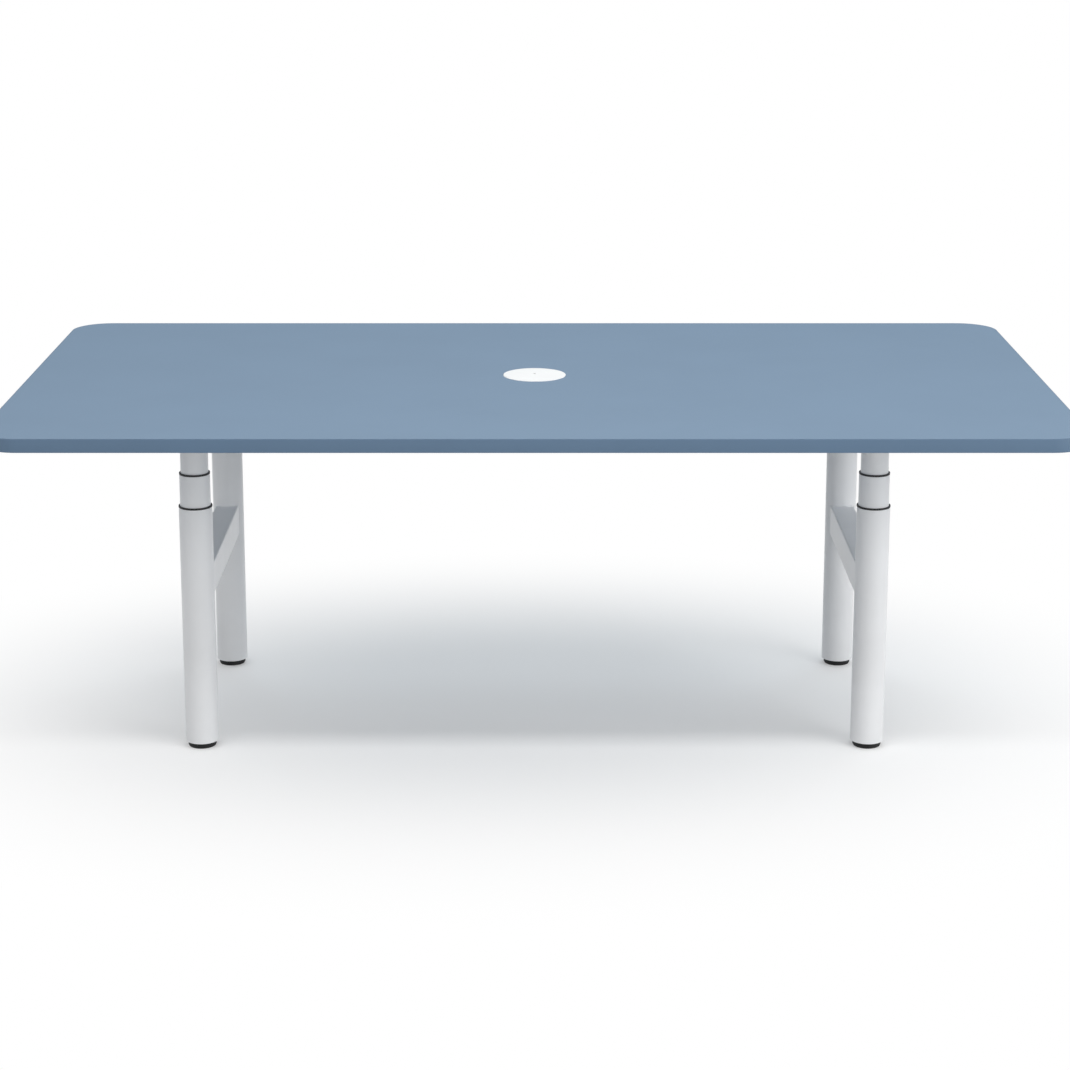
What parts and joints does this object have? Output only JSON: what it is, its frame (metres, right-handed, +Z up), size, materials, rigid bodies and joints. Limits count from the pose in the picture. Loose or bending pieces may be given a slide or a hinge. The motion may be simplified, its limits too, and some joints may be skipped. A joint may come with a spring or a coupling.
{
  "type": "height-adjustable meeting table",
  "caption": "Rounded rectangular meeting table on round three-stage lifting columns joined in pairs by side beams, with a round cable hub in the middle of the top.",
  "frame": {"origin": "on the floor under the middle of the board", "axes": "+X along the board's length to the right, +Y to the rear, +Z up"},
  "size_m": [2.2, 1.2, 0.7513],
  "materials": {
    "blue_laminate": "matt blue-grey melamine laminate on board, with an edge band of the same colour",
    "white_powder_coat": "fine-textured white powder coat",
    "black_plastic": "satin black moulded plastic",
    "white_plastic": "satin white moulded plastic",
    "grey_plastic": "textured dark grey moulded plastic",
    "grey_polymer": "greased bearing polymer",
    "bright_steel": "bright rolled steel",
    "dark_steel": "blackened steel",
    "black_rubber": "black cable jacket"
  },
  "bodies": {
    "base": {"outer_tube_front_left": "white_powder_coat", "lower_collar_front_left": "black_plastic", "column_base_front_left": "dark_steel", "outer_tube_front_right": "white_powder_coat", "lower_collar_front_right": "black_plastic", "column_base_front_right": "dark_steel", "outer_tube_rear_left": "white_powder_coat", "lower_collar_rear_left": "black_plastic", "column_base_rear_left": "dark_steel", "outer_tube_rear_right": "white_powder_coat", "lower_collar_rear_right": "black_plastic", "column_base_rear_right": "dark_steel", "side_beam_left": "white_powder_coat", "side_beam_right": "white_powder_coat"},
    "top": {"tabletop": "blue_laminate", "cross_channel_left": "white_powder_coat", "cross_channel_right": "white_powder_coat", "rail_front": "white_powder_coat", "rail_rear": "white_powder_coat", "hub_sleeve": "grey_plastic", "control_box": "grey_plastic", "handset": "grey_plastic", "wiring_loom": "black_rubber", "inner_tube_front_left": "white_powder_coat", "inner_tube_front_right": "white_powder_coat", "inner_tube_rear_left": "white_powder_coat", "inner_tube_rear_right": "white_powder_coat", "gear_motor_front_left": "grey_plastic", "gear_motor_front_right": "grey_plastic", "gear_motor_rear_left": "grey_plastic", "gear_motor_rear_right": "grey_plastic"},
    "middle_stage_front_left": {"middle_tube_front_left": "white_powder_coat", "upper_collar_front_left": "black_plastic", "stage_bearing_front_left": "grey_polymer"},
    "lift_spindle_front_left": {"spindle_front_left": "bright_steel"},
    "lift_shaft_front_left": {"drive_shaft_front_left": "dark_steel"},
    "levelling_foot_front_left": {"foot_front_left": "black_plastic"},
    "middle_stage_front_right": {"middle_tube_front_right": "white_powder_coat", "upper_collar_front_right": "black_plastic", "stage_bearing_front_right": "grey_polymer"},
    "lift_spindle_front_right": {"spindle_front_right": "bright_steel"},
    "lift_shaft_front_right": {"drive_shaft_front_right": "dark_steel"},
    "levelling_foot_front_right": {"foot_front_right": "black_plastic"},
    "middle_stage_rear_left": {"middle_tube_rear_left": "white_powder_coat", "upper_collar_rear_left": "black_plastic", "stage_bearing_rear_left": "grey_polymer"},
    "lift_spindle_rear_left": {"spindle_rear_left": "bright_steel"},
    "lift_shaft_rear_left": {"drive_shaft_rear_left": "dark_steel"},
    "levelling_foot_rear_left": {"foot_rear_left": "black_plastic"},
    "middle_stage_rear_right": {"middle_tube_rear_right": "white_powder_coat", "upper_collar_rear_right": "black_plastic", "stage_bearing_rear_right": "grey_polymer"},
    "lift_spindle_rear_right": {"spindle_rear_right": "bright_steel"},
    "lift_shaft_rear_right": {"drive_shaft_rear_right": "dark_steel"},
    "levelling_foot_rear_right": {"foot_rear_right": "black_plastic"},
    "button_up_key": {"button_up": "white_plastic"},
    "button_down_key": {"button_down": "white_plastic"},
    "hub_cover": {"hub_lid": "white_plastic"}
  },
  "joints": [
    {"name": "table_lift", "type": "slide", "parent": "base", "child": "top", "axis": [0, 0, 1], "range_m": [-0.13, 0.52]},
    {"name": "middle_slide_front_left", "type": "slide", "parent": "base", "child": "middle_stage_front_left", "axis": [0, 0, 1], "range_m": [-0.065, 0.26]},
    {"name": "spindle_turn_front_left", "type": "hinge", "parent": "middle_stage_front_left", "child": "lift_spindle_front_left", "pos_m": [-0.711, -0.277, 0.12], "axis": [0, 0, 1], "range_deg": [-2340, 9360]},
    {"name": "shaft_turn_front_left", "type": "hinge", "parent": "top", "child": "lift_shaft_front_left", "pos_m": [-0.711, -0.277, 0.68], "axis": [0, 0, 1], "range_deg": [-2340, 9360]},
    {"name": "foot_screw_front_left", "type": "slide", "parent": "base", "child": "levelling_foot_front_left", "axis": [0, 0, -1], "range_m": [0, 0.008]},
    {"name": "middle_slide_front_right", "type": "slide", "parent": "base", "child": "middle_stage_front_right", "axis": [0, 0, 1], "range_m": [-0.065, 0.26]},
    {"name": "spindle_turn_front_right", "type": "hinge", "parent": "middle_stage_front_right", "child": "lift_spindle_front_right", "pos_m": [0.711, -0.277, 0.12], "axis": [0, 0, 1], "range_deg": [-2340, 9360]},
    {"name": "shaft_turn_front_right", "type": "hinge", "parent": "top", "child": "lift_shaft_front_right", "pos_m": [0.711, -0.277, 0.68], "axis": [0, 0, 1], "range_deg": [-2340, 9360]},
    {"name": "foot_screw_front_right", "type": "slide", "parent": "base", "child": "levelling_foot_front_right", "axis": [0, 0, -1], "range_m": [0, 0.008]},
    {"name": "middle_slide_rear_left", "type": "slide", "parent": "base", "child": "middle_stage_rear_left", "axis": [0, 0, 1], "range_m": [-0.065, 0.26]},
    {"name": "spindle_turn_rear_left", "type": "hinge", "parent": "middle_stage_rear_left", "child": "lift_spindle_rear_left", "pos_m": [-0.711, 0.277, 0.12], "axis": [0, 0, 1], "range_deg": [-2340, 9360]},
    {"name": "shaft_turn_rear_left", "type": "hinge", "parent": "top", "child": "lift_shaft_rear_left", "pos_m": [-0.711, 0.277, 0.68], "axis": [0, 0, 1], "range_deg": [-2340, 9360]},
    {"name": "foot_screw_rear_left", "type": "slide", "parent": "base", "child": "levelling_foot_rear_left", "axis": [0, 0, -1], "range_m": [0, 0.008]},
    {"name": "middle_slide_rear_right", "type": "slide", "parent": "base", "child": "middle_stage_rear_right", "axis": [0, 0, 1], "range_m": [-0.065, 0.26]},
    {"name": "spindle_turn_rear_right", "type": "hinge", "parent": "middle_stage_rear_right", "child": "lift_spindle_rear_right", "pos_m": [0.711, 0.277, 0.12], "axis": [0, 0, 1], "range_deg": [-2340, 9360]},
    {"name": "shaft_turn_rear_right", "type": "hinge", "parent": "top", "child": "lift_shaft_rear_right", "pos_m": [0.711, 0.277, 0.68], "axis": [0, 0, 1], "range_deg": [-2340, 9360]},
    {"name": "foot_screw_rear_right", "type": "slide", "parent": "base", "child": "levelling_foot_rear_right", "axis": [0, 0, -1], "range_m": [0, 0.008]},
    {"name": "button_up_press", "type": "slide", "parent": "top", "child": "button_up_key", "axis": [0, -1, 0], "range_m": [0, 0.001], "stiffness_N_per_m": 2000, "springref_m": -0.0005},
    {"name": "button_down_press", "type": "slide", "parent": "top", "child": "button_down_key", "axis": [0, -1, 0], "range_m": [0, 0.001], "stiffness_N_per_m": 2000, "springref_m": -0.0005},
    {"name": "hub_lid_lift", "type": "slide", "parent": "top", "child": "hub_cover", "axis": [0, 0, 1], "range_m": [0, 0.03]}
  ],
  "couplings": [
    {"joint": "middle_slide_front_left", "follows": "table_lift", "ratio": 0.5},
    {"joint": "spindle_turn_front_left", "follows": "table_lift", "rad_per_m": 314.16},
    {"joint": "shaft_turn_front_left", "follows": "table_lift", "rad_per_m": 314.16},
    {"joint": "middle_slide_front_right", "follows": "table_lift", "ratio": 0.5},
    {"joint": "spindle_turn_front_right", "follows": "table_lift", "rad_per_m": 314.16},
    {"joint": "shaft_turn_front_right", "follows": "table_lift", "rad_per_m": 314.16},
    {"joint": "middle_slide_rear_left", "follows": "table_lift", "ratio": 0.5},
    {"joint": "spindle_turn_rear_left", "follows": "table_lift", "rad_per_m": 314.16},
    {"joint": "shaft_turn_rear_left", "follows": "table_lift", "rad_per_m": 314.16},
    {"joint": "middle_slide_rear_right", "follows": "table_lift", "ratio": 0.5},
    {"joint": "spindle_turn_rear_right", "follows": "table_lift", "rad_per_m": 314.16},
    {"joint": "shaft_turn_rear_right", "follows": "table_lift", "rad_per_m": 314.16}
  ]
}
